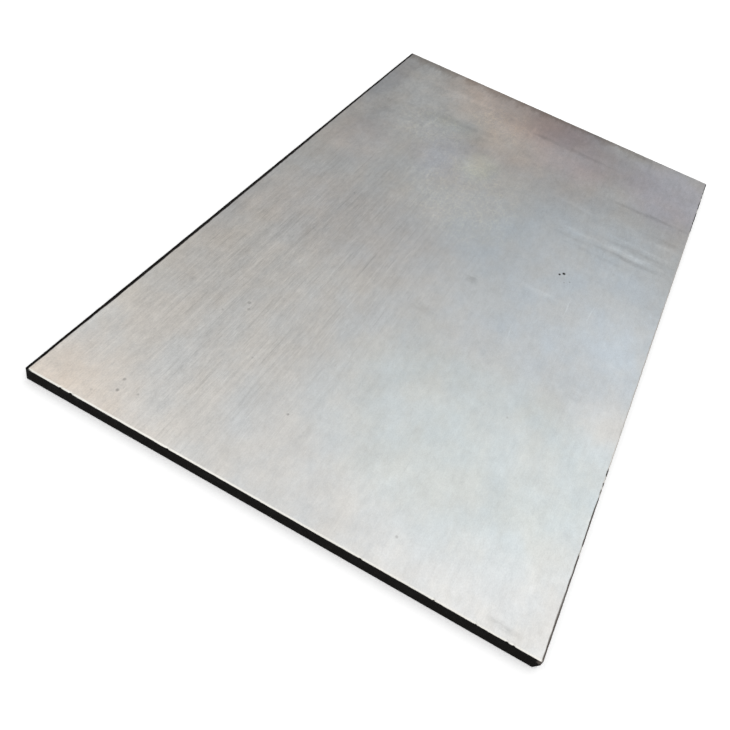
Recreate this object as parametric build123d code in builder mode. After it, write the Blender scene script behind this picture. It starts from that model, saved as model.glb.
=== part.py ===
from build123d import *
import os

# Flat steel plate, cut to size from a rolled sheet, one solid piece.
# Millimetres. Origin at the middle of the underside, X across the width, Y along the length
# and the grain of the ground face, Z up. The near side is -Y and the right side is +X.

# Driving sizes
PLATE_WIDTH = 350.0
PLATE_LENGTH = 600.0
PLATE_THICKNESS = 10.0

# The cutting flame melts each upper edge into a shoulder.
# Each width is measured in across the ground face, and one depth down the cut face serves all.
LEFT_SHOULDER_WIDTH = 2.1
RIGHT_SHOULDER_WIDTH = 1.1
FAR_SHOULDER_WIDTH = 1.2
NEAR_SHOULDER_WIDTH = 0.8
SHOULDER_DEPTH = 0.6

# The lower edges and the four upright corners are only broken, not shaped.
LOWER_EDGE_RADIUS = 0.8
UPRIGHT_CORNER_RADIUS = 1.0

# The near right corner was dropped on and has lost its lower tip to one slanting facet.
# These are how far the facet reaches from the sharp corner along each of its three edges.
KNOCK_ALONG_NEAR_SIDE = 3.6
KNOCK_ALONG_RIGHT_SIDE = 3.2
KNOCK_HEIGHT = 7.6


def edge_section(plane, span, start_shoulder, end_shoulder):
    """Cross-section from one side to the other: flat underside, broken lower edges,
    upright cut faces and an elliptical shoulder of its own width at each upper edge."""
    half = span / 2
    shoulder_foot = PLATE_THICKNESS - SHOULDER_DEPTH
    with BuildSketch(plane) as section:
        with BuildLine():
            Line((-half + LOWER_EDGE_RADIUS, 0), (half - LOWER_EDGE_RADIUS, 0))
            CenterArc((half - LOWER_EDGE_RADIUS, LOWER_EDGE_RADIUS), LOWER_EDGE_RADIUS, -90, 90)
            Line((half, LOWER_EDGE_RADIUS), (half, shoulder_foot))
            EllipticalCenterArc((half - end_shoulder, shoulder_foot), end_shoulder, SHOULDER_DEPTH, 0)
            Line((half - end_shoulder, PLATE_THICKNESS), (-half + start_shoulder, PLATE_THICKNESS))
            EllipticalCenterArc((-half + start_shoulder, shoulder_foot), start_shoulder, SHOULDER_DEPTH, 90)
            Line((-half, shoulder_foot), (-half, LOWER_EDGE_RADIUS))
            CenterArc((-half + LOWER_EDGE_RADIUS, LOWER_EDGE_RADIUS), LOWER_EDGE_RADIUS, 180, 90)
        make_face()
    return section.sketch


# The plate is what its outline seen from above, its section across the width
# and its section along the length have in common, so the shoulders meet in mitres.
across_width = edge_section(Plane.XZ, PLATE_WIDTH, LEFT_SHOULDER_WIDTH, RIGHT_SHOULDER_WIDTH)
along_length = edge_section(Plane.YZ, PLATE_LENGTH, NEAR_SHOULDER_WIDTH, FAR_SHOULDER_WIDTH)

# The facet is the plane through the three points where it meets the edges of the corner,
# and it looks out of the plate.
sharp_corner = Vector(PLATE_WIDTH / 2, -PLATE_LENGTH / 2, 0)
facet_on_near_side = sharp_corner - Vector(KNOCK_ALONG_NEAR_SIDE, 0, 0)
facet_on_right_side = sharp_corner + Vector(0, KNOCK_ALONG_RIGHT_SIDE, 0)
facet_on_upright = sharp_corner + Vector(0, 0, KNOCK_HEIGHT)
facet = Plane(
    origin=facet_on_upright,
    x_dir=facet_on_near_side - facet_on_upright,
    z_dir=(facet_on_near_side - facet_on_upright).cross(facet_on_right_side - facet_on_upright),
)

with BuildPart() as plate:
    with BuildSketch():
        RectangleRounded(PLATE_WIDTH, PLATE_LENGTH, UPRIGHT_CORNER_RADIUS)
    extrude(amount=PLATE_THICKNESS)
    extrude(across_width, amount=PLATE_LENGTH / 2, both=True, mode=Mode.INTERSECT)
    extrude(along_length, amount=PLATE_WIDTH / 2, both=True, mode=Mode.INTERSECT)
    split(bisect_by=facet, keep=Keep.BOTTOM)

plate.part.label = "plate"
os.makedirs("parts", exist_ok=True)
export_step(plate.part, "parts/plate.step")
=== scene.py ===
from math import cos, pi, radians, sin

import bmesh
import bpy
from bpy.props import FloatProperty, FloatVectorProperty, PointerProperty
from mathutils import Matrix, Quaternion, Vector


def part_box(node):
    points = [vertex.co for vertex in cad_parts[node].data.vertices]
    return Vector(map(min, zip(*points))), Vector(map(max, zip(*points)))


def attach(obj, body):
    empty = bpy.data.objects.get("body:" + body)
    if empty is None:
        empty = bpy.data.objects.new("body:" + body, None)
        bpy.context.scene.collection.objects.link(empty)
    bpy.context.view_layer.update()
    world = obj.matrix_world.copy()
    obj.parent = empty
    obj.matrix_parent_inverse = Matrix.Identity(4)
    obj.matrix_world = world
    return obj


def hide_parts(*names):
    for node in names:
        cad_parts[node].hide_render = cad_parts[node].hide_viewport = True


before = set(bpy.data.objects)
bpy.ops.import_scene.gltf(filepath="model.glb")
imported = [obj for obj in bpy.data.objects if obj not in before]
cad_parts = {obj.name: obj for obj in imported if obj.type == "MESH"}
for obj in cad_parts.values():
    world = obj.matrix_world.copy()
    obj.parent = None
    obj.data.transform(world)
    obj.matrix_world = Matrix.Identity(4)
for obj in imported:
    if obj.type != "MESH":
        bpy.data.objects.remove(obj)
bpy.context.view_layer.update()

bl_info = {
    "name": "Ground Steel Plate",
    "version": (1, 0, 0),
    "blender": (4, 5, 0),
    "location": "View3D > Sidebar > Steel Plate",
    "description": "Models a ground steel plate with flame-cut edges and a plain studio round it",
    "category": "Object",
}

# The plate lies with its length and its grain along Y. The near side is -Y and the right side is +X.
plate_low, plate_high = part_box("plate")
WIDTH = plate_high.x - plate_low.x
LENGTH = plate_high.y - plate_low.y
THICKNESS = plate_high.z - plate_low.z
MM = 0.001

# Faces that meet at less than this angle are shaded as one surface.
SMOOTH_BELOW = radians(35)

# Material slots of the plate, in the order in which they are added
GROUND_FACE, CUT_FACE, UNDERSIDE, BARE_FACET = range(4)

# The mix node's sockets for plain values and for colours share their names, so they go by number.
VALUE_A, VALUE_B, COLOUR_A, COLOUR_B = 2, 3, 6, 7
VALUE_RESULT, COLOUR_RESULT = 0, 2


class PlateSettings(bpy.types.PropertyGroup):
    """Sizes of the cut edges, the same as those of the solid, and the colours of the finishes."""

    # The left shoulder is wider than the others: its black is partly painted shadow along the left side.
    left_shoulder: FloatProperty(
        name="Left shoulder", description="Width of the melted shoulder on the left side",
        default=2.1 * MM, unit="LENGTH")
    right_shoulder: FloatProperty(
        name="Right shoulder", description="Width of the melted shoulder on the right side",
        default=1.1 * MM, unit="LENGTH")
    near_shoulder: FloatProperty(
        name="Near shoulder", description="Width of the melted shoulder on the near side",
        default=0.8 * MM, unit="LENGTH")
    far_shoulder: FloatProperty(
        name="Far shoulder", description="Width of the melted shoulder on the far side",
        default=1.2 * MM, unit="LENGTH")
    shoulder_depth: FloatProperty(
        name="Shoulder depth", description="How far the shoulders reach down the cut faces",
        default=0.6 * MM, unit="LENGTH")
    lower_edge: FloatProperty(
        name="Lower edge", description="Radius of the broken lower edges",
        default=0.8 * MM, unit="LENGTH")
    corner_radius: FloatProperty(
        name="Corner radius", description="Radius of the upright corners",
        default=1.0 * MM, unit="LENGTH")
    knock_along_near: FloatProperty(
        name="Knock along near side", description="Reach of the knocked facet along the near side",
        default=3.6 * MM, unit="LENGTH")
    knock_along_right: FloatProperty(
        name="Knock along right side", description="Reach of the knocked facet along the right side",
        default=3.2 * MM, unit="LENGTH")
    knock_height: FloatProperty(
        name="Knock height", description="Reach of the knocked facet up the corner",
        default=7.6 * MM, unit="LENGTH")
    column_pitch: FloatProperty(
        name="Column pitch", description="Spacing of the mesh along the cut faces",
        default=0.5 * MM, unit="LENGTH")
    steel_colour: FloatVectorProperty(
        name="Ground steel", description="Colour of the ground face",
        default=(0.62, 0.62, 0.61), subtype="COLOR")
    # Darker than bare oxide: the near-black of the cut faces is partly painted shade.
    oxide_and_shade_colour: FloatVectorProperty(
        name="Cut oxide", description="Colour of the black oxide on the cut faces",
        default=(0.005, 0.0045, 0.004), subtype="COLOR")
    # Bright metal, also the colour of the painted highlight along the near arris.
    arris_and_highlight_colour: FloatVectorProperty(
        name="Bright arris", description="Colour of the metal where the shoulders are rubbed bright",
        default=(0.97, 0.95, 0.89), subtype="COLOR")
    brown_colour: FloatVectorProperty(
        name="Browned oxide", description="Colour of the thin brown oxide by the knocked corner",
        default=(0.11, 0.095, 0.085), subtype="COLOR")
    scale_colour: FloatVectorProperty(
        name="Rolling scale", description="Colour of the rolling scale on the underside",
        default=(0.085, 0.09, 0.1), subtype="COLOR")


class StudioSettings(bpy.types.PropertyGroup):
    """Camera, floor and light of the plain studio."""

    camera_place: FloatVectorProperty(
        name="Camera place", description="Where the camera stands",
        default=(0.0892, -0.5472, 0.4093), subtype="TRANSLATION", unit="LENGTH")
    camera_azimuth: FloatProperty(
        name="Camera azimuth", description="How far the camera has gone round from the near side",
        default=radians(13.63), subtype="ANGLE")
    camera_elevation: FloatProperty(
        name="Camera elevation", description="How steeply the camera looks down",
        default=radians(45.33), subtype="ANGLE")
    camera_roll: FloatProperty(
        name="Camera roll", description="How far the camera is turned about its line of sight",
        default=radians(17.85), subtype="ANGLE")
    lens: FloatProperty(
        name="Lens", description="Focal length on a 36 mm frame, in millimetres",
        default=39.92, min=1.0)
    floor_radius: FloatProperty(
        name="Floor radius", description="Radius of the round floor",
        default=15.0, unit="LENGTH")
    floor_colour: FloatVectorProperty(
        name="Floor colour", description="Colour of the pale floor",
        default=(0.88, 0.88, 0.88), subtype="COLOR")


def face_x(x):
    """The X coordinate that lies x millimetres from the left side."""
    return -WIDTH / 2 + x * MM


def face_y(y):
    """The Y coordinate that lies y millimetres from the near side."""
    return -LENGTH / 2 + y * MM


def on_face(x, y):
    """The place on the ground face that is x and y millimetres from its near left corner."""
    return (face_x(x), face_y(y))


def rest_everything():
    """Leaves edit mode and deselects every object, the frame's own nodes too."""
    if bpy.context.mode != "OBJECT":
        bpy.ops.object.mode_set(mode="OBJECT")
    bpy.ops.object.select_all(action="DESELECT")


def select_edges(piece, test):
    """In edit mode, selects exactly the edges whose two ends pass the test."""
    bpy.ops.mesh.select_all(action="DESELECT")
    mesh = bmesh.from_edit_mesh(piece.data)
    for edge in mesh.edges:
        if all(test(end.co) for end in edge.verts):
            edge.select_set(True)
    bmesh.update_edit_mesh(piece.data)


def paint_new_band(piece, slot):
    """Gives the faces under the selected loop, the band that was just extruded, to a material slot."""
    mesh = bmesh.from_edit_mesh(piece.data)
    for edge in mesh.edges:
        if edge.select:
            for face in edge.link_faces:
                face.material_index = slot
    bmesh.update_edit_mesh(piece.data)


class Row:
    """One level loop round the plate: its height and how far each side is set in."""

    def __init__(self, height, left=0.0, right=0.0, near=0.0, far=0.0):
        self.height = height
        self.span_x = WIDTH - left - right
        self.span_y = LENGTH - near - far
        self.centre = Vector(((left - right) / 2, (near - far) / 2, height))


def section_rows(plate):
    """The rows of the edge section from the underside to the ground face, each with its slot."""
    edge, depth = plate.lower_edge, plate.shoulder_depth
    widths = (plate.left_shoulder, plate.right_shoulder, plate.near_shoulder, plate.far_shoulder)
    halfway = edge * (1 - sin(pi / 4))
    rows = [(Row(0.0, edge, edge, edge, edge), UNDERSIDE)]
    rows.append((Row(halfway, halfway, halfway, halfway, halfway), CUT_FACE))
    foot = THICKNESS - depth
    cut_rows = 8
    for step in range(cut_rows + 1):
        rows.append((Row(edge + (foot - edge) * step / cut_rows), CUT_FACE))
    shoulder_rows = 4
    # The ground face dips by this much over its outermost millimetre.
    worn = 0.06 * MM
    for step in range(1, shoulder_rows + 1):
        turn = pi / 2 * step / shoulder_rows
        insets = [width * (1 - cos(turn)) for width in widths]
        rows.append((Row(foot + (depth - worn) * sin(turn), *insets), CUT_FACE))
    for reach in (1.0 * MM, 2.0 * MM):
        rows.append((Row(THICKNESS, *[width + reach for width in widths]), GROUND_FACE))
    return rows


def move_loop(old, new, extrude):
    """Moves the selected loop from one row to the next, or extrudes it there."""
    shift = new.centre - old.centre
    if extrude:
        bpy.ops.mesh.extrude_edges_move(TRANSFORM_OT_translate={"value": shift})
    else:
        bpy.ops.transform.translate(value=shift)
    bpy.ops.transform.resize(
        value=(new.span_x / old.span_x, new.span_y / old.span_y, 1.0), center_override=new.centre)


def divide_side(piece, span, pitch, test):
    """Cuts the straight edges of one pair of sides into columns, a hundred to each first part."""
    columns = 100
    select_edges(piece, test)
    bpy.ops.mesh.subdivide(number_cuts=max(1, round(span / (columns * pitch)) - 1))
    select_edges(piece, test)
    bpy.ops.mesh.subdivide(number_cuts=columns - 1)


def draw_outline(plate):
    """A wire loop on the floor: the plate's outline with round corners, cut into columns."""
    bpy.ops.mesh.primitive_plane_add(size=1.0)
    piece = bpy.context.object
    piece.name = piece.data.name = "ground_plate"
    bpy.ops.object.mode_set(mode="EDIT")
    bpy.ops.transform.resize(value=(WIDTH, LENGTH, 1.0))
    bpy.ops.mesh.bevel(offset=plate.corner_radius, affect="VERTICES", segments=4)
    bpy.ops.mesh.select_all(action="SELECT")
    bpy.ops.mesh.delete(type="ONLY_FACE")
    touch = 0.001 * MM
    divide_side(piece, LENGTH, plate.column_pitch, lambda co: abs(co.x) > WIDTH / 2 - touch)
    divide_side(piece, WIDTH, plate.column_pitch, lambda co: abs(co.y) > LENGTH / 2 - touch)
    return piece


def raise_section(piece, plate):
    """Extrudes the outline up through the rows of the edge section and closes both faces."""
    rows = section_rows(plate)
    outline = Row(0.0)
    bpy.ops.mesh.select_all(action="SELECT")
    move_loop(outline, rows[0][0], extrude=False)
    bpy.ops.mesh.edge_face_add()
    mesh = bmesh.from_edit_mesh(piece.data)
    mesh.faces.ensure_lookup_table()
    mesh.faces[0].material_index = UNDERSIDE
    bmesh.update_edit_mesh(piece.data)
    select_edges(piece, lambda co: True)
    for (low, _), (high, slot) in zip(rows, rows[1:]):
        move_loop(low, high, extrude=True)
        paint_new_band(piece, slot)
    bpy.ops.mesh.edge_face_add()
    bpy.ops.mesh.select_all(action="SELECT")
    bpy.ops.mesh.normals_make_consistent(inside=False)
    bpy.ops.object.mode_set(mode="OBJECT")


def weigh(piece, name, weight_at):
    """A vertex group whose weights follow a function of place."""
    group = piece.vertex_groups.new(name=name)
    for vertex in piece.data.vertices:
        weight = weight_at(vertex.co)
        if weight > 0:
            group.add([vertex.index], min(weight, 1.0), "REPLACE")
    return group.name


def wear(piece, name, group, cell, depth, direction="NORMAL", middle=1.0, detail=2):
    """Displaces a vertex group by soft cloud noise whose cells have the given size, and keeps it."""
    bpy.ops.object.empty_add()
    ruler = bpy.context.object
    ruler.scale = cell
    cloud = bpy.data.textures.new(name, type="CLOUDS")
    cloud.noise_scale = 1.0
    cloud.noise_depth = detail
    bpy.ops.object.select_all(action="DESELECT")
    bpy.context.view_layer.objects.active = piece
    piece.select_set(True)
    bpy.ops.object.modifier_add(type="DISPLACE")
    displace = piece.modifiers[-1]
    displace.texture = cloud
    displace.texture_coords = "OBJECT"
    displace.texture_coords_object = ruler
    displace.vertex_group = group
    displace.direction = direction
    displace.mid_level = middle
    displace.strength = depth
    bpy.ops.object.modifier_apply(modifier=displace.name)
    bpy.data.objects.remove(ruler)
    bpy.data.textures.remove(cloud)


def side_distance(co):
    """How far a place is inside each side of the plate: left, right, near, far."""
    return (co.x + WIDTH / 2, WIDTH / 2 - co.x, co.y + LENGTH / 2, LENGTH / 2 - co.y)


def age_cut_edges(piece, plate):
    """Gives the cut faces their wander and drag lines, and the shoulders their uneven width."""
    foot = THICKNESS - plate.shoulder_depth
    edge = plate.lower_edge
    slack = 0.01 * MM
    past_shoulder = 0.1 * MM
    corner_fade = 5 * MM

    def on_cut(co):
        """Full on the cut face, and less round the lower edge and up the shoulder."""
        if co.z < edge:
            return co.z / edge
        if co.z <= foot + slack:
            return 1.0
        return max(0.0, (THICKNESS - co.z) / plate.shoulder_depth - 0.15)

    def on_shoulder(co, side, width):
        """More and more up one side's shoulder, and nothing close to the corners."""
        distance = side_distance(co)
        ends = distance[2:] if side < 2 else distance[:2]
        if co.z <= foot or distance[side] > width + past_shoulder or THICKNESS - co.z < slack:
            return 0.0
        from_corner = min(1.0, max(0.0, min(ends) / corner_fade - 0.6))
        return (co.z - foot) / plate.shoulder_depth * from_corner

    cut = weigh(piece, "cut_faces", on_cut)
    wear(piece, "torch_wander", cut, (14 * MM, 14 * MM, 60 * MM), 0.3 * MM)
    wear(piece, "drag_lines", cut, (1.3 * MM, 1.3 * MM, 16 * MM), 0.22 * MM)
    widths = (plate.left_shoulder, plate.right_shoulder, plate.near_shoulder, plate.far_shoulder)
    swings = (1.3 * MM, 1.0 * MM, 0.45 * MM, 1.0 * MM)
    for side, (width, swing) in enumerate(zip(widths, swings)):
        group = weigh(piece, f"shoulder_{side}", lambda co: on_shoulder(co, side, width))
        axis = "X" if side < 2 else "Y"
        cell = (7 * MM, 7 * MM, 7 * MM)
        wear(piece, "shoulder_wander", group, cell, swing, direction=axis, middle=0.5, detail=4)


def nick_near_edge(piece, plate):
    """Pushes the small nicks into the near upper edge, each as a soft dent round one vertex.
    Each has its distance from the left side, its reach and its depth, in millimetres."""
    nicks = (
        (26.5, 1.0, 0.45), (34.7, 1.2, 0.55), (105, 1.0, 0.45), (236, 1.2, 0.3),
        (283, 0.9, 0.4), (309, 0.9, 0.3), (328, 1.2, 0.35), (332, 1.0, 0.3),
    )
    flat = THICKNESS - 0.01 * MM
    # Each dent goes inward by its depth and down by this share of it.
    down = 0.3
    bpy.ops.object.mode_set(mode="EDIT")
    bpy.ops.mesh.select_mode(type="VERT")
    for x, reach, depth in nicks:
        lip = Vector((face_x(x), -LENGTH / 2 + plate.near_shoulder, THICKNESS))
        bpy.ops.mesh.select_all(action="DESELECT")
        mesh = bmesh.from_edit_mesh(piece.data)
        around = [
            vertex for vertex in mesh.verts
            if vertex.co.z < flat and (vertex.co - lip).length < 3 * reach * MM
        ]
        for vertex in around:
            vertex.select_set(True)
        bpy.ops.mesh.hide(unselected=True)
        bpy.ops.mesh.select_all(action="DESELECT")
        min(around, key=lambda vertex: (vertex.co - lip).length).select_set(True)
        bmesh.update_edit_mesh(piece.data)
        bpy.ops.transform.translate(
            value=(0, depth * MM, -down * depth * MM), use_proportional_edit=True,
            proportional_edit_falloff="SPHERE", proportional_size=reach * MM)
        bpy.ops.mesh.reveal(select=False)
    bpy.ops.object.mode_set(mode="OBJECT")


def knock_corner(piece, plate):
    """Cuts the near right corner's lower tip off at the facet that a fall left, and dishes it."""
    corner = Vector((WIDTH / 2, -LENGTH / 2, 0))
    near = corner - Vector((plate.knock_along_near, 0, 0))
    right = corner + Vector((0, plate.knock_along_right, 0))
    upright = corner + Vector((0, 0, plate.knock_height))
    outward = (near - upright).cross(right - upright).normalized()
    bpy.ops.object.mode_set(mode="EDIT")
    bpy.ops.mesh.select_mode(type="FACE")
    bpy.ops.mesh.select_all(action="SELECT")
    bpy.ops.mesh.bisect(plane_co=upright, plane_no=outward, use_fill=True, clear_outer=True)
    mesh = bmesh.from_edit_mesh(piece.data)
    bpy.ops.mesh.select_all(action="DESELECT")
    for face in mesh.faces:
        off_facet = abs((face.calc_center_median() - upright).dot(outward))
        if face.normal.dot(outward) > 0.99 and off_facet < 0.01 * MM:
            face.material_index = BARE_FACET
            face.select_set(True)
    bmesh.update_edit_mesh(piece.data)
    bpy.ops.mesh.inset(thickness=0.5 * MM, depth=-0.15 * MM)
    bpy.ops.object.mode_set(mode="OBJECT")


def sink_pits(piece):
    """Sinks the two shallow pits into the ground face with oval cutters, which leave their own finish.
    Each has its place, its size across and along, and its depth, in millimetres."""
    rest_everything()
    cutters = []
    pits = ((262.5, 339.5, 2.0, 2.4, 0.5), (259.5, 336.0, 1.4, 1.8, 0.4))
    for x, y, across, along, depth in pits:
        bpy.ops.mesh.primitive_uv_sphere_add(segments=20, ring_count=12, radius=1.0)
        bpy.ops.object.mode_set(mode="EDIT")
        bpy.ops.transform.resize(value=(across / 2 * MM, along / 2 * MM, depth * MM))
        bpy.ops.transform.translate(value=(*on_face(x, y), THICKNESS))
        bpy.ops.object.mode_set(mode="OBJECT")
        cutters.append(bpy.context.object)
    cutter = cutters[0]
    cutter.select_set(True)
    bpy.context.view_layer.objects.active = cutter
    bpy.ops.object.join()
    cutter.data.materials.append(piece.data.materials[CUT_FACE])
    bpy.ops.object.select_all(action="DESELECT")
    bpy.context.view_layer.objects.active = piece
    piece.select_set(True)
    bpy.ops.object.modifier_add(type="BOOLEAN")
    pit = piece.modifiers[-1]
    pit.operation = "DIFFERENCE"
    pit.object = cutter
    pit.material_mode = "TRANSFER"
    bpy.ops.object.modifier_apply(modifier=pit.name)
    bpy.data.objects.remove(cutter)


class Nodes:
    """A node tree, with short ways to add a node and to join its sockets."""

    def __init__(self, tree):
        self.tree = tree

    def add(self, kind, inputs=None, **settings):
        """Adds a node with its settings and feeds its inputs."""
        node = self.tree.nodes.new(kind)
        for name, value in settings.items():
            setattr(node, name, value)
        for name, value in (inputs or {}).items():
            self.feed(node.inputs[name], value)
        return node

    def feed(self, socket, value):
        """Links another node's output to a socket, or sets its value."""
        if isinstance(value, bpy.types.NodeSocket):
            self.tree.links.new(value, socket)
        else:
            socket.default_value = value

    def math(self, operation, *values):
        """The result of one step of arithmetic."""
        return self.add("ShaderNodeMath", dict(enumerate(values)), operation=operation).outputs[0]

    def vector_math(self, operation, *values):
        """The outputs of one step of arithmetic on vectors."""
        return self.add("ShaderNodeVectorMath", dict(enumerate(values)), operation=operation).outputs

    def product(self, first, *others):
        """All the values multiplied together."""
        for value in others:
            first = self.math("MULTIPLY", first, value)
        return first

    def swing(self, pattern, amount):
        """A pattern that runs from 0 to 1, turned into a swing about 0."""
        return self.math("MULTIPLY", self.math("SUBTRACT", pattern, 0.5), amount)

    def band(self, value, low, high, first=0.0, last=1.0):
        """Goes smoothly from one value to another as its input passes from low to high."""
        inputs = {"Value": value, "From Min": low, "From Max": high, "To Min": first, "To Max": last}
        return self.add("ShaderNodeMapRange", inputs, interpolation_type="SMOOTHSTEP").outputs["Result"]


class Finish(Nodes):
    """A material, with short ways to lay the patterns that the finishes share, sized in millimetres."""

    def __init__(self, name):
        self.material = bpy.data.materials.new(name)
        self.material.use_nodes = True
        super().__init__(self.material.node_tree)
        self.shader = self.tree.nodes["Principled BSDF"]
        self.place = self.add("ShaderNodeTexCoord").outputs["Object"]

    def axis(self, name):
        """One coordinate of the place, in metres."""
        return self.add("ShaderNodeSeparateXYZ", {0: self.place}).outputs[name]

    def across(self, low, high, first=0.0, last=1.0):
        """Goes from one value to another between two distances from the left side."""
        return self.band(self.axis("X"), face_x(low), face_x(high), first, last)

    def along(self, low, high, first=0.0, last=1.0):
        """Goes from one value to another between two distances from the near side."""
        return self.band(self.axis("Y"), face_y(low), face_y(high), first, last)

    def within(self, centre, reach, turn=0.0, place=None):
        """The place measured from a centre in units of a reach along each axis."""
        turned = (0, 0, turn)
        inputs = {"Vector": place or self.place, "Location": centre, "Rotation": turned, "Scale": reach}
        return self.add("ShaderNodeMapping", inputs, vector_type="TEXTURE").outputs["Vector"]

    def noise(self, cell, detail=2.0, rough=0.5, shift=0.0, output="Fac"):
        """Noise whose cells have the given size, the same at every height where no height is given.
        Patterns with the same cells and another shift don't fall on each other."""
        everywhere = 1000.0
        across, along, up = cell if len(cell) == 3 else (*cell, everywhere)
        scaled = self.within((shift, shift, shift), (across * MM, along * MM, up * MM))
        inputs = {"Vector": scaled, "Scale": 1.0, "Detail": detail, "Roughness": rough}
        return self.add("ShaderNodeTexNoise", inputs).outputs[output]

    def wander(self, cell, distance, detail=2.0):
        """The place moved about by noise, so that what is drawn on it gets uneven edges."""
        noise = self.noise(cell, detail=detail, rough=0.55, shift=0.7, output="Color")
        push = self.vector_math("SUBTRACT", noise, (0.5, 0.5, 0.5))["Vector"]
        push = self.vector_math("MULTIPLY", push, (distance * MM, distance * MM, 0.0))["Vector"]
        return self.vector_math("ADD", self.place, push)["Vector"]

    def distance(self, x, y, across, along, turn=0.0, place=None):
        """How far a place on the ground face is from a spot, in units of the spot's reach.
        Where nothing is turned, plain vector steps do, which keep few values waiting in the renderer."""
        centre = (*on_face(x, y), THICKNESS)
        reach = (across * MM, along * MM, 1.0)
        if turn:
            offset = self.within(centre, reach, radians(turn), place)
        else:
            offset = self.vector_math("SUBTRACT", place or self.place, centre)["Vector"]
            offset = self.vector_math("DIVIDE", offset, reach)["Vector"]
        return self.vector_math("LENGTH", offset)["Value"]

    def spot(self, x, y, across, along, turn=0.0, core=0.0, place=None):
        """A soft oval patch on the ground face: 1 out to its core and 0 past its reach."""
        return self.band(self.distance(x, y, across, along, turn=turn, place=place), core, 1.0, 1.0, 0.0)

    def tint(self, base, colour, amount, blend="MIX"):
        """Lays a colour over another by an amount."""
        over = (*colour, 1.0) if isinstance(colour, tuple) else colour
        inputs = {"Factor": amount, COLOUR_A: base, COLOUR_B: over}
        mix = self.add("ShaderNodeMix", inputs, data_type="RGBA", blend_type=blend)
        return mix.outputs[COLOUR_RESULT]

    def shade(self, base, factor):
        """Multiplies a colour by a grey value."""
        grey = self.add("ShaderNodeCombineColor", {0: factor, 1: factor, 2: factor}).outputs[0]
        return self.tint(base, grey, 1.0, "MULTIPLY")

    def tint_value(self, base, value, amount):
        """Goes from one plain value to another by an amount."""
        inputs = {"Factor": amount, VALUE_A: base, VALUE_B: value}
        return self.add("ShaderNodeMix", inputs).outputs[VALUE_RESULT]

    def bump(self, height, distance, strength=1.0, under=None):
        """A normal tilted by a height pattern whose full range is the distance."""
        inputs = {"Height": height, "Distance": distance * MM, "Strength": strength}
        if under is not None:
            inputs["Normal"] = under
        return self.add("ShaderNodeBump", inputs).outputs["Normal"]

    def wire(self, **sockets):
        """Feeds the shader's inputs, whose spaces are written as underscores, and returns the material."""
        for name, value in sockets.items():
            self.feed(self.shader.inputs[name.replace("_", " ")], value)
        return self.material


def grain_tone(steel, fine, streak):
    """Grey of the belt grain about 1, deepest and a little darker where the face is scored."""
    broad = steel.noise((9, 420), detail=2, rough=0.5, shift=0.7)
    grit = steel.noise((0.8, 1.3), detail=3, rough=0.7, shift=0.2)
    fleck = steel.noise((3.2, 6), detail=4, rough=0.65, shift=0.6)
    mottle = steel.noise((14, 20), detail=4, rough=0.6)
    cloud = steel.noise((50, 65), detail=3, rough=0.55, shift=0.4)
    scored = steel.spot(85, 200, 130, 290, core=0.3)
    depth = steel.math("MULTIPLY_ADD", scored, 0.9, 0.3)
    score = steel.band(steel.noise((1.2, 60), detail=2, rough=0.5, shift=0.15), 0.6, 0.72)
    glint = steel.band(steel.noise((0.9, 16), detail=2, rough=0.5, shift=0.65), 0.62, 0.74)
    lines = steel.math("SUBTRACT", steel.product(glint, 0.07), steel.product(score, 0.09))
    for pattern, amount in ((fine, 0.3), (streak, 0.24), (broad, 0.06)):
        lines = steel.math("ADD", steel.swing(pattern, amount), lines)
    tone = steel.product(lines, depth)
    for pattern, amount in ((grit, 0.3), (fleck, 0.24), (mottle, 0.17), (cloud, 0.1)):
        tone = steel.math("ADD", steel.swing(pattern, amount), tone)
    farther = steel.along(330, 500, first=1.0, last=1.55)
    leftward = steel.across(20, 170, first=1.25, last=1.0)
    tone = steel.product(tone, farther, leftward)
    return steel.math("ADD", tone, steel.math("MULTIPLY_ADD", scored, -0.04, 1.0))


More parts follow.
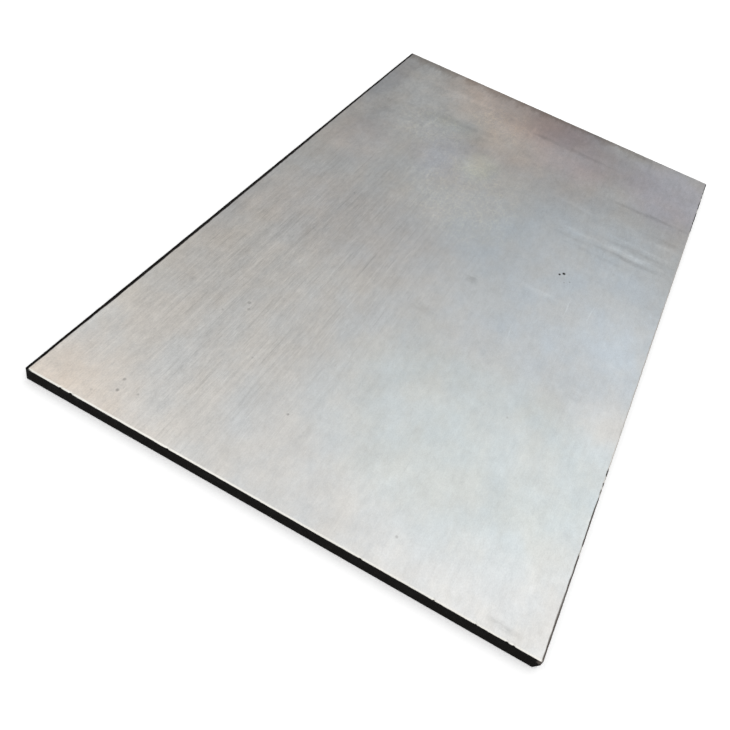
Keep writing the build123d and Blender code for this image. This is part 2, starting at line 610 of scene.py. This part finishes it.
def lay_films(steel, colour):
    """Tints laid on the steel: heat and oil films, brown and mauve far off, blue and green on the right,
    and plain grey patches that only lighten or darken it.
    Each has its place, reach, turn, the share of the reach that is even, and its colour."""
    films = (
        (130, 592, 105, 95, 0, 0.3, (1.15, 1.01, 0.94)), (158, 500, 50, 80, 0, 0.3, (1.09, 1.0, 0.94)),
        (215, 545, 75, 75, 0, 0.3, (1.09, 1.0, 1.01)), (325, 545, 75, 80, 0, 0.4, (1.02, 1.0, 1.08)),
        (275, 330, 140, 165, 0, 0.55, (0.935, 0.997, 1.06)),
        (268, 115, 140, 110, 0, 0.4, (0.94, 1.0, 1.015)),
        (0, 230, 65, 290, 0, 0.3, (1.02, 1.0, 0.98)), (60, 150, 100, 210, 0, 0.4, (1.025, 1.0, 0.975)),
        (5, 5, 110, 60, 0, 0.1, (1.09, 1.0, 0.92)), (0, 0, 130, 150, 0, 0.1, (1.16, 1.16, 1.16)),
        (75, 555, 75, 55, 0, 0.2, (1.12, 1.11, 1.09)), (125, 525, 50, 44, -15, 0.2, (1.06, 1.05, 1.04)),
        (188, 592, 95, 66, 0, 0.3, (0.69, 0.67, 0.69)), (250, 545, 115, 50, 0, 0.25, (0.82, 0.82, 0.84)),
        (6, 525, 26, 95, 0, 0.3, (0.77, 0.77, 0.79)), (290, 325, 90, 130, 0, 0.3, (1.09, 1.09, 1.09)),
        (85, 275, 120, 75, 0, 0.4, (0.955, 0.95, 0.96)), (20, 430, 60, 50, 0, 0.3, (0.94, 0.93, 0.93)),
        (100, 490, 50, 22, 10, 0.2, (0.92, 0.94, 0.93)), (115, 430, 45, 60, 0, 0.2, (0.97, 0.98, 1.04)),
        (350, 215, 60, 240, 0, 0.2, (1.08, 1.09, 1.10)), (0, 105, 22, 130, 0, 0.2, (1.06, 1.06, 1.05)),
        (145, 437, 28, 34, 0, 0.2, (1.05, 1.06, 0.97)), (220, 482, 80, 60, 0, 0.2, (0.89, 0.865, 0.865)),
        (328, 485, 62, 60, 0, 0.2, (0.91, 0.90, 0.91)), (2, 215, 26, 60, 0, 0.3, (0.92, 0.92, 0.93)),
        (48, 502, 34, 28, 0, 0.2, (1.07, 1.07, 1.07)), (188, 195, 32, 45, 0, 0.2, (0.92, 0.95, 0.97)),
        (70, 0, 140, 30, 0, 0.1, (1.08, 1.06, 1.04)), (35, 395, 40, 60, 0, 0.2, (1.03, 0.99, 0.98)),
        (138, 466, 26, 22, 0, 0.2, (0.91, 0.92, 0.93)),
    )
    blotched = steel.wander((45, 45), 36, detail=3)
    patches = steel.noise((60, 60), detail=3, rough=0.6, shift=0.2)
    uneven = steel.band(patches, 0.3, 0.65, first=0.75, last=1.0)
    for x, y, across, along, turn, core, film in films:
        mask = steel.product(steel.spot(x, y, across, along, turn=turn, core=core, place=blotched), uneven)
        colour = steel.tint(colour, film, mask, "MULTIPLY")
    warmth = steel.band(steel.noise((30, 50), detail=4, rough=0.6, shift=0.9), 0.3, 0.7)
    hue = steel.tint((0.978, 1.0, 1.022, 1.0), (1.02, 0.998, 0.974), warmth)
    return steel.tint(colour, hue, 1.0, "MULTIPLY")


def rub_marks(steel):
    """Grey of the marks left by sliding and handling, about 1: each with its place, reach and change."""
    rubs = (
        (308, 487, 60, 5.0, 3, -0.20), (308, 408, 46, 5.5, 0, 0.17), (305, 400, 48, 5.0, 0, -0.19),
        (310, 418, 44, 5.0, 2, -0.12), (312, 427, 46, 4.0, 0, 0.09), (256, 408, 26, 5.0, 0, 0.11),
        (252, 397, 26, 5.0, 0, -0.10), (285, 386, 60, 4.5, 0, -0.08), (250, 449, 40, 5.0, 0, 0.09),
        (332, 445, 24, 8.0, 0, 0.12), (330, 456, 30, 5.0, 0, -0.10), (252, 302, 24, 5.0, 0, 0.10),
        (220, 545, 70, 6.0, 0, -0.16), (178, 547, 14, 6.0, 0, -0.18), (100, 557, 85, 7.0, 0, 0.10),
        (166, 550, 3, 20, 0, 0.10), (178, 500, 12, 12, 0, -0.10), (105, 499, 60, 7.0, 6, -0.12),
        (182, 217, 18, 8.0, 0, -0.12), (310, 205, 12, 8.0, 0, -0.10), (200, 277, 8, 8.0, 0, -0.20),
        (134, 435, 10, 9.0, 0, 0.12), (324, 7.5, 14, 4.5, 0, -0.26), (167, 60, 4, 26, 0, -0.08),
        (290, 585, 3, 30, 6, -0.14), (277, 595, 14, 6.0, 0, -0.20), (4.5, 45, 3, 100, 0, 0.09),
        (277, 298, 0.9, 18, 0, 0.14), (296, 306, 0.9, 22, 0, 0.12), (247, 238, 0.9, 13, 0, 0.12),
    )
    waving = steel.wander((26, 26), 6, detail=3)
    broken = steel.band(steel.noise((12, 4), detail=4, rough=0.65), 0.3, 0.6, first=0.25, last=1.0)
    grey = 1.0
    for x, y, across, along, turn, change in rubs:
        mark = steel.product(steel.spot(x, y, across, along, turn=turn, core=0.1, place=waving), broken)
        grey = steel.math("MULTIPLY_ADD", mark, change, grey)
    for x, y, radius in ((100, 468, 26), (135, 392, 24), (120, 480, 44)):
        distance = steel.distance(x, y, radius, radius, place=waving)
        inner = steel.band(distance, 0.86, 1.0)
        ring = steel.product(inner, steel.band(distance, 1.0, 1.14, first=1.0, last=0.0))
        side = steel.spot(x - radius, y, radius * 0.8, radius, core=0.2)
        grey = steel.math("MULTIPLY_ADD", steel.product(ring, side, broken), 0.07, grey)
    return grey


def swirl_marks(steel, colour):
    """Thin curling marks that a cloth left, paler and yellower than the steel, on the far left."""
    curl = steel.noise((9, 11), detail=3, rough=0.6, shift=0.35)
    from_line = steel.math("ABSOLUTE", steel.math("SUBTRACT", curl, 0.5))
    line = steel.band(from_line, 0.0, 0.03, first=1.0, last=0.0)
    haze = steel.noise((2.6, 3.4), detail=3, rough=0.65, shift=0.8)
    wiped = steel.spot(80, 470, 55, 55, core=0.4)
    for x, y, across, along, turn in ((150, 385, 75, 100, 25), (135, 535, 45, 50, 0)):
        wiped = steel.math("MAXIMUM", wiped, steel.spot(x, y, across, along, turn=turn, core=0.4))
    amount = steel.math("MULTIPLY_ADD", line, 2.0, steel.band(haze, 0.45, 0.7))
    amount = steel.product(amount, wiped, 0.5)
    return steel.tint(colour, (1.13, 1.12, 1.07), amount, "MULTIPLY")


def smear_far_edge(steel, colour):
    """The dark smear that the far edge keeps, ragged toward the middle and fading to the right."""
    from_far = steel.math("SUBTRACT", LENGTH / 2, steel.axis("Y"))
    ragged = steel.noise((13, 60), detail=5, rough=0.75, shift=0.4)
    reach = steel.band(ragged, 0.3, 0.7, first=6 * MM, last=30 * MM)
    fade = steel.across(225, 330, first=1.0, last=0.1)
    share = steel.math("DIVIDE", from_far, reach)
    smear = steel.product(steel.band(share, 0.0, 1.0, first=1.0, last=0.0), fade)
    return steel.tint(colour, (0.65, 0.60, 0.56), smear, "MULTIPLY")


def stain_and_shadow_long_edges(steel, colour, plate):
    """Dark bands that creep onto the face: all along the left side, partly oxide and partly painted shadow,
    and toward the front on the right, brown oxide.
    """
    from_left = steel.math("ADD", steel.axis("X"), WIDTH / 2)
    from_right = steel.math("SUBTRACT", WIDTH / 2, steel.axis("X"))
    creep = steel.swing(steel.noise((5, 9), detail=3, rough=0.6, shift=0.8), 1.2 * MM)
    reach = steel.along(330, 480, first=2.8 * MM, last=2.2 * MM)
    short = steel.along(20, 110, first=0.7 * MM, last=0.0)
    left = steel.math("SUBTRACT", steel.math("ADD", from_left, creep), steel.math("SUBTRACT", reach, short))
    left = steel.band(left, 0.0, 0.7 * MM, first=1.0, last=0.0)
    right = steel.band(steel.math("ADD", from_right, creep), 1.1 * MM, 1.7 * MM, first=1.0, last=0.0)
    right = steel.product(right, steel.along(30, 100, first=0.8, last=0.0))
    # The near-black band along the left side is partly painted shadow and partly oxide.
    colour = steel.tint(colour, (0.022, 0.02, 0.018), left)
    return steel.tint(colour, plate.brown_colour[:], right)


def spread_specks(steel, colour):
    """Dirt in the pits and the few specks on the face, each with its place, radius and strength."""
    specks = (
        (262.5, 339.5, 2.0, 0.9), (259.5, 336, 1.5, 0.9), (270, 332, 0.9, 0.5), (266, 328, 0.8, 0.5),
        (76, 138, 1.8, 0.35), (79, 132, 1.6, 0.3), (150, 66, 1.2, 0.4), (54.5, 19, 1.5, 0.45),
        (52.5, 28.5, 1.5, 0.4), (66.5, 23.5, 1.2, 0.25), (42, 10, 1.2, 0.2), (72.5, 313, 1.0, 0.35),
        (274, 155, 1.2, 0.2), (248, 25, 1.3, 0.3), (65, 120, 1.2, 0.25), (106, 94, 1.1, 0.25),
    )
    dirt = 0.0
    for x, y, radius, strength in specks:
        speck = steel.product(steel.spot(x, y, radius, radius * 1.2, core=0.3), strength)
        dirt = steel.math("MAXIMUM", speck, dirt)
    return steel.tint(colour, (0.09, 0.085, 0.08), dirt)


def bright_arris_and_highlight_tone(metal, plate):
    """The bright metal of the arris, which also serves as the painted highlight along the near side, duller
    toward the right and away from the near side.
    """
    rightward = metal.across(40, 320, first=1.0, last=0.8)
    farther = metal.along(60, 260, first=1.0, last=0.72)
    return metal.shade((*plate.arris_and_highlight_colour, 1.0), metal.product(rightward, farther))


def paint_near_rim_highlight(steel, colour, plate):
    """A painted highlight along the ground face's near rim, in bright metal colour, weaker toward the right
    and in patches.
    """
    from_near = steel.math("ADD", steel.axis("Y"), LENGTH / 2)
    amount = steel.across(40, 300, first=0.95, last=0.6)
    patches = steel.noise((24, 60), detail=3, rough=0.6, shift=0.25)
    uneven = steel.band(patches, 0.3, 0.5, first=0.6, last=1.0)
    rim = steel.band(from_near, 1.0 * MM, 1.9 * MM, first=1.0, last=0.0)
    # The near rim is tinted bright as a painted highlight.
    return steel.tint(colour, bright_arris_and_highlight_tone(steel, plate), steel.product(rim, amount, uneven))


def ground_face_finish(plate):
    """Belt-ground steel: grain along the length, film tints, rub marks, a smeared far edge and specks."""
    steel = Finish("ground_face")
    fine = steel.noise((0.7, 10), detail=3, rough=0.7)
    streak = steel.noise((2.2, 110), detail=3, rough=0.6, shift=0.3)
    colour = steel.shade((*plate.steel_colour, 1.0), grain_tone(steel, fine, streak))
    colour = lay_films(steel, colour)
    colour = steel.shade(colour, rub_marks(steel))
    colour = swirl_marks(steel, colour)
    colour = smear_far_edge(steel, colour)
    colour = paint_near_rim_highlight(steel, colour, plate)
    colour = stain_and_shadow_long_edges(steel, colour, plate)
    colour = spread_specks(steel, colour)
    polish = steel.noise((40, 60), detail=3, rough=0.6, shift=0.6)
    rough = steel.band(polish, 0.2, 0.8, first=0.34, last=0.44)
    normal = steel.bump(steel.noise((70, 110), detail=1, rough=0.4, shift=0.9), distance=0.6)
    grain = steel.math("ADD", steel.product(fine, 0.5), steel.product(streak, 0.5))
    normal = steel.bump(grain, distance=0.03, strength=1.0, under=normal)
    tangent = steel.add("ShaderNodeTangent", direction_type="UV_MAP", uv_map="grain")
    return steel.wire(
        Base_Color=colour, Metallic=1.0, Roughness=rough, Anisotropic=0.6,
        Tangent=tangent.outputs["Tangent"], Normal=normal)


def browned_corner(oxide):
    """Where the oxide is thin and brown: the front of the right shoulder and the near right corner."""
    height = oxide.band(oxide.axis("Z"), 6.0 * MM, 7.5 * MM)
    right = oxide.across(346, 348)
    front = oxide.along(90, 220, first=1.0, last=0.0)
    return oxide.product(height, right, front)


def highlit_and_rubbed(oxide):
    """Where the shoulders turn to bright metal: all along the near side as a painted highlight, in parts on
    the right as rubbed metal.
    """
    ragged = oxide.swing(oxide.noise((3, 3, 3), detail=3, rough=0.6, shift=0.3), 0.3 * MM)
    wear_line = oxide.math("ADD", oxide.axis("Z"), ragged)
    # Painted highlight along the top of the near shoulder.
    near = oxide.along(1.5, 2.5, first=1.0, last=0.0)
    near = oxide.product(near, oxide.band(wear_line, THICKNESS - 0.4 * MM, THICKNESS - 0.2 * MM))
    near = oxide.product(near, oxide.across(2, 6))
    near = oxide.product(near, oxide.across(348.2, 349.6, first=1.0, last=0.0))
    right = oxide.band(oxide.axis("X"), WIDTH / 2 - 2.5 * MM, WIDTH / 2 - 1.5 * MM)
    right = oxide.product(right, oxide.band(wear_line, THICKNESS - 0.75 * MM, THICKNESS - 0.5 * MM))
    dashes = oxide.noise((9, 9, 9), detail=3, rough=0.6, shift=0.5)
    kept_near = oxide.along(40, 90, first=0.85, last=0.54)
    kept_middle = oxide.along(140, 190, first=0.0, last=-0.3)
    kept_far = oxide.along(430, 520, first=0.0, last=0.3)
    kept = oxide.math("ADD", oxide.math("ADD", kept_near, kept_middle), kept_far)
    bare = oxide.math("SUBTRACT", dashes, kept)
    return oxide.math("MAXIMUM", near, oxide.product(right, oxide.band(bare, -0.05, 0.1)))


def cut_face_finish(plate):
    """Black oxide, darker still as painted shade, over the drag lines of the flame, with bright metal on
    the shoulders: a painted highlight along the near one, rubbed metal on parts of the right one.
    """
    oxide = Finish("cut_face")
    drag = oxide.noise((0.7, 0.7, 14), detail=3, rough=0.6)
    patch = oxide.noise((9, 9, 5), detail=4, rough=0.6, shift=0.2)
    rust = oxide.noise((5, 5, 3), detail=4, rough=0.65, shift=0.5)
    dusty = oxide.band(patch, 0.5, 0.75, first=0.0, last=0.7)
    # Nearly black base: oxide, partly painted shade.
    colour = oxide.tint((*plate.oxide_and_shade_colour, 1.0), (0.013, 0.011, 0.01), dusty)
    colour = oxide.tint(colour, (0.024, 0.015, 0.01), oxide.band(rust, 0.55, 0.8, first=0.0, last=0.6))
    colour = oxide.tint(colour, plate.brown_colour[:], browned_corner(oxide))
    bright = highlit_and_rubbed(oxide)
    colour = oxide.tint(colour, bright_arris_and_highlight_tone(oxide, plate), bright)
    rough = oxide.tint_value(oxide.band(patch, 0.3, 0.7, first=0.6, last=0.8), 0.36, bright)
    normal = oxide.bump(patch, distance=0.15, strength=0.8)
    normal = oxide.bump(drag, distance=0.12, strength=0.9, under=normal)
    return oxide.wire(
        Base_Color=colour, Metallic=bright, Roughness=rough, Specular_IOR_Level=0.05, Normal=normal)


def underside_finish(plate):
    """Blue-grey rolling scale, with light patches where it has flaked and a few handling scratches."""
    scale = Finish("underside")
    roll = scale.noise((6, 180), detail=3, rough=0.55)
    cloud = scale.noise((45, 60), detail=5, rough=0.6, shift=0.3)
    flaked = scale.band(scale.noise((22, 26), detail=6, rough=0.65, shift=0.9), 0.6, 0.66)
    scratch = scale.band(scale.noise((60, 0.6), detail=1, rough=0.4, shift=0.1), 0.78, 0.8)
    colour = scale.shade((*plate.scale_colour, 1.0), scale.band(roll, 0.2, 0.8, first=0.8, last=1.2))
    colour = scale.tint(colour, (0.12, 0.095, 0.085), scale.band(cloud, 0.45, 0.7, first=0.0, last=0.6))
    colour = scale.tint(colour, (0.24, 0.235, 0.23), scale.product(flaked, 0.6))
    colour = scale.tint(colour, (0.3, 0.3, 0.3), scale.product(scratch, 0.5))
    rough = scale.band(flaked, 0.0, 1.0, first=0.48, last=0.62)
    normal = scale.bump(flaked, distance=0.04, strength=0.8)
    normal = scale.bump(roll, distance=0.05, strength=0.5, under=normal)
    return scale.wire(Base_Color=colour, Metallic=0.7, Roughness=rough, Normal=normal)


def facet_finish(plate):
    """Scraped bare metal of the knocked corner, already browned, and black again toward its foot."""
    bare = Finish("bare_facet")
    scrape = bare.noise((0.4, 0.4, 2.5), detail=3, rough=0.6)
    browned = bare.band(scrape, 0.35, 0.7, first=0.1, last=0.9)
    colour = bare.tint((0.6, 0.55, 0.51, 1.0), (0.2, 0.17, 0.15), browned)
    foot = bare.band(bare.axis("Z"), 3.5 * MM, 5.5 * MM, first=1.0, last=0.0)
    colour = bare.tint(colour, plate.oxide_and_shade_colour[:], foot)
    normal = bare.bump(scrape, distance=0.1, strength=0.8)
    return bare.wire(Base_Color=colour, Metallic=0.9, Roughness=0.5, Normal=normal)


class STEELPLATE_OT_plate(bpy.types.Operator):
    """Model the plate: cut edges, knocked corner, nicks, pits and the finish of every face"""

    bl_idname = "steel_plate.plate"
    bl_label = "Ground Plate"

    def execute(self, context):
        plate = context.scene.steel_plate
        rest_everything()
        piece = draw_outline(plate)
        for finish in (ground_face_finish, cut_face_finish, underside_finish, facet_finish):
            piece.data.materials.append(finish(plate))
        raise_section(piece, plate)
        age_cut_edges(piece, plate)
        nick_near_edge(piece, plate)
        knock_corner(piece, plate)
        sink_pits(piece)
        bpy.ops.object.mode_set(mode="EDIT")
        bpy.ops.mesh.select_all(action="SELECT")
        bpy.ops.uv.cube_project(cube_size=LENGTH)
        bpy.ops.object.mode_set(mode="OBJECT")
        piece.data.uv_layers[0].name = "grain"
        bpy.ops.object.shade_smooth_by_angle(angle=SMOOTH_BELOW)
        piece.vertex_groups.clear()
        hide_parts("plate")
        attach(piece, "root")
        return {"FINISHED"}


def floor_finish(studio):
    """Pale floor that the camera and mirrors see a little brighter, so that it reads as white."""
    floor = Finish("pale_floor")
    glow = 0.34
    floor.wire(Base_Color=(*studio.floor_colour, 1.0), Roughness=0.9)
    path = floor.add("ShaderNodeLightPath").outputs
    seen = floor.math("MAXIMUM", path["Is Camera Ray"], path["Is Glossy Ray"])
    seen = floor.math("MAXIMUM", seen, path["Is Transmission Ray"])
    return floor.wire(Emission_Color=(1.0, 1.0, 1.0, 1.0), Emission_Strength=floor.product(seen, glow))


def lay_floor(studio):
    """A round pale floor just under the plate, which takes its shadow."""
    rest_everything()
    gap = 0.2 * MM
    bpy.ops.mesh.primitive_circle_add(vertices=128, radius=studio.floor_radius, fill_type="NGON")
    floor = bpy.context.object
    floor.name = floor.data.name = "studio_floor"
    bpy.ops.object.mode_set(mode="EDIT")
    bpy.ops.transform.translate(value=(0, 0, -gap))
    bpy.ops.object.mode_set(mode="OBJECT")
    floor.data.materials.append(floor_finish(studio))


def hang_sky():
    """Soft light from all round: white near the floor, dim above it, brightest high up and to the right,
    with a pale window high beyond the far side."""
    world = bpy.data.worlds.new("soft_studio")
    bpy.context.scene.world = world
    world.use_nodes = True
    sky = Nodes(world.node_tree)
    ray = sky.add("ShaderNodeTexCoord").outputs["Generated"]
    split = sky.add("ShaderNodeSeparateXYZ", {0: ray}).outputs
    ramp = sky.add("ShaderNodeValToRGB", {"Fac": split["Z"]})
    # Each grey of the sky with the sine of its elevation, from the horizon up to overhead
    greys = (
        (0.0, 0.7), (0.17, 0.67), (0.26, 0.17), (0.42, 0.155), (0.6, 0.42),
        (0.78, 0.76), (0.88, 1.0), (0.94, 0.8), (1.0, 0.55),
    )
    while len(ramp.color_ramp.elements) < len(greys):
        ramp.color_ramp.elements.new(0.5)
    for element, (height, grey) in zip(ramp.color_ramp.elements, greys):
        element.position = height
        element.color = (grey, grey, grey, 1.0)
    brightness, lean, window_glow = 1.5, 0.45, 0.45
    azimuth, elevation, half_width = radians(18), radians(38), radians(28)
    window = (sin(azimuth) * cos(elevation), cos(azimuth) * cos(elevation), sin(elevation))
    toward = sky.vector_math("DOT_PRODUCT", ray, window)["Value"]
    glow = sky.band(toward, cos(half_width), 1.0, first=0.0, last=window_glow)
    tilt = sky.product(split["X"], sky.band(split["Z"], 0.17, 0.4, first=0.0, last=lean))
    level = sky.product(sky.math("ADD", sky.math("ADD", tilt, 1.0), glow), brightness)
    background = world.node_tree.nodes["Background"]
    sky.feed(background.inputs["Color"], ramp.outputs["Color"])
    sky.feed(background.inputs["Strength"], level)


def set_camera(studio):
    """The camera of the photograph: its place, and its line of sight from azimuth, elevation and roll."""
    azimuth, elevation = studio.camera_azimuth, studio.camera_elevation
    back = Vector((sin(azimuth) * cos(elevation), -cos(azimuth) * cos(elevation), sin(elevation)))
    bpy.ops.object.camera_add(location=studio.camera_place)
    camera = bpy.context.object
    camera.name = camera.data.name = "studio_camera"
    camera.rotation_mode = "QUATERNION"
    upright = (-back).to_track_quat("-Z", "Y")
    camera.rotation_quaternion = upright @ Quaternion((0, 0, 1), studio.camera_roll)
    camera.data.sensor_width = 36.0
    camera.data.lens = studio.lens
    camera.data.clip_start = 0.01
    bpy.context.scene.camera = camera


class STEELPLATE_OT_studio(bpy.types.Operator):
    """Set up the plain studio: pale floor, soft sky and the camera"""

    bl_idname = "steel_plate.studio"
    bl_label = "Studio"

    def execute(self, context):
        studio = context.scene.steel_studio
        lay_floor(studio)
        hang_sky()
        set_camera(studio)
        context.scene.view_settings.view_transform = "Standard"
        return {"FINISHED"}


class STEELPLATE_PT_panel(bpy.types.Panel):
    """Lists the plate and its studio"""

    bl_idname = "STEELPLATE_PT_panel"
    bl_label = "Steel Plate"
    bl_space_type = "VIEW_3D"
    bl_region_type = "UI"
    bl_category = "Steel Plate"

    def draw(self, context):
        for operator, settings in (
            (STEELPLATE_OT_plate, context.scene.steel_plate),
            (STEELPLATE_OT_studio, context.scene.steel_studio),
        ):
            box = self.layout.box()
            box.operator(operator.bl_idname)
            for name in settings.__annotations__:
                box.prop(settings, name)


CLASSES = (PlateSettings, StudioSettings, STEELPLATE_OT_plate, STEELPLATE_OT_studio, STEELPLATE_PT_panel)


def register():
    for cls in CLASSES:
        bpy.utils.register_class(cls)
    bpy.types.Scene.steel_plate = PointerProperty(type=PlateSettings)
    bpy.types.Scene.steel_studio = PointerProperty(type=StudioSettings)


def unregister():
    del bpy.types.Scene.steel_studio
    del bpy.types.Scene.steel_plate
    for cls in reversed(CLASSES):
        bpy.utils.unregister_class(cls)


def main():
    register()
    bpy.ops.steel_plate.studio()
    bpy.ops.steel_plate.plate()


if __name__ == "__main__":
    main()
